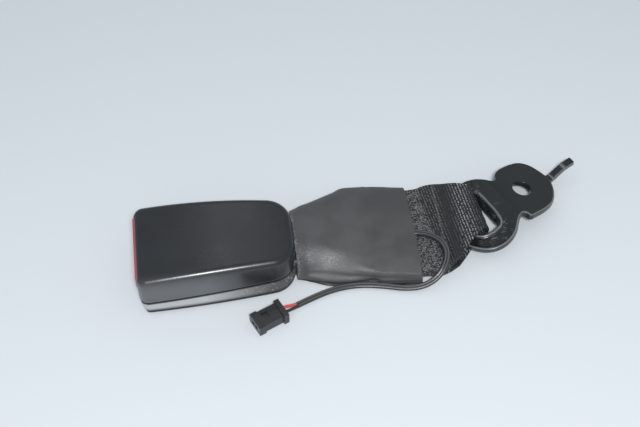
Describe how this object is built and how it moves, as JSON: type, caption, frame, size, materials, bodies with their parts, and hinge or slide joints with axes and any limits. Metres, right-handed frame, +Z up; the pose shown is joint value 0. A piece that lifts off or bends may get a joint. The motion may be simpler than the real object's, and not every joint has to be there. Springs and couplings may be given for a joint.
{
  "type": "seat belt buckle",
  "caption": "Seat belt buckle with push-button latch, soft boot, short webbing strap, looped anchor plate with bolt hole, and a switch lead with plug.",
  "frame": {"origin": "middle of the lower cover's flat underside, which rests on the surface", "axes": "+X from the mouth of the buckle towards the anchor plate, +Z up out of the upper cover, +Y completes the frame"},
  "size_m": [0.2057, 0.0753, 0.0241],
  "materials": {
    "cover_upper": "satin moulded black",
    "cover_lower": "fine grained black",
    "plated_steel": "zinc plated pressed steel",
    "pin_steel": "bright steel",
    "guide_plastic": "moulded black",
    "button_red": "moulded red",
    "pawl_steel": "hardened pressed steel",
    "ejector_plastic": "natural acetal",
    "spring_steel": "spring wire",
    "switch_plastic": "moulded",
    "contact_brass": "stamped brass",
    "webbing": "black polyester webbing",
    "boot": "dark grey soft grained sleeve",
    "anchor_paint": "semi gloss black",
    "lead_black": "black PVC",
    "core_red": "red PVC",
    "core_black": "black PVC",
    "connector_plastic": "moulded black nylon",
    "contact_tin": "tinned brass"
  },
  "bodies": {
    "housing": {"upper_cover": "cover_upper", "lower_cover": "cover_lower", "buckle_frame": "plated_steel", "pawl_pin": "pin_steel", "mouth_guide": "guide_plastic", "button_spring_left": "spring_steel", "button_spring_right": "spring_steel", "ejector_spring": "spring_steel", "pawl_spring": "spring_steel", "switch_case": "switch_plastic", "switch_tracks": "contact_brass", "webbing_strap": "webbing", "boot_sleeve": "boot", "cable_inner": "lead_black", "cable_lead": "lead_black", "core_red": "core_red", "core_black": "core_black", "connector_housing": "connector_plastic", "connector_contacts": "contact_tin"},
    "button": {"release_button": "button_red"},
    "pawl": {"latch_pawl": "pawl_steel"},
    "ejector": {"ejector": "ejector_plastic", "contact_bridge": "contact_brass"},
    "anchor": {"anchor_plate": "anchor_paint"}
  },
  "joints": [
    {"name": "button_press", "type": "slide", "parent": "housing", "child": "button", "axis": [1, 0, 0], "range_m": [0, 0.0045], "stiffness_N_per_m": 600, "springref_m": -0.004, "deforming": ["button_spring_left", "button_spring_right"]},
    {"name": "pawl_lift", "type": "hinge", "parent": "housing", "child": "pawl", "pos_m": [0.013, 0, 0.0157], "axis": [0, 1, 0], "range_deg": [0, 14.6], "deforming": ["pawl_spring"]},
    {"name": "ejector_slide", "type": "slide", "parent": "housing", "child": "ejector", "axis": [1, 0, 0], "range_m": [0, 0.01], "stiffness_N_per_m": 400, "springref_m": -0.003, "deforming": ["ejector_spring"]},
    {"name": "anchor_swing", "type": "hinge", "parent": "housing", "child": "anchor", "pos_m": [0.10893, 0.00218, 0.00449], "axis": [-0.4617, 0.887, 0], "range_deg": [0, 10]}
  ],
  "couplings": [
    {"joint": "pawl_lift", "follows": "button_press", "rad_per_m": 56.626}
  ]
}
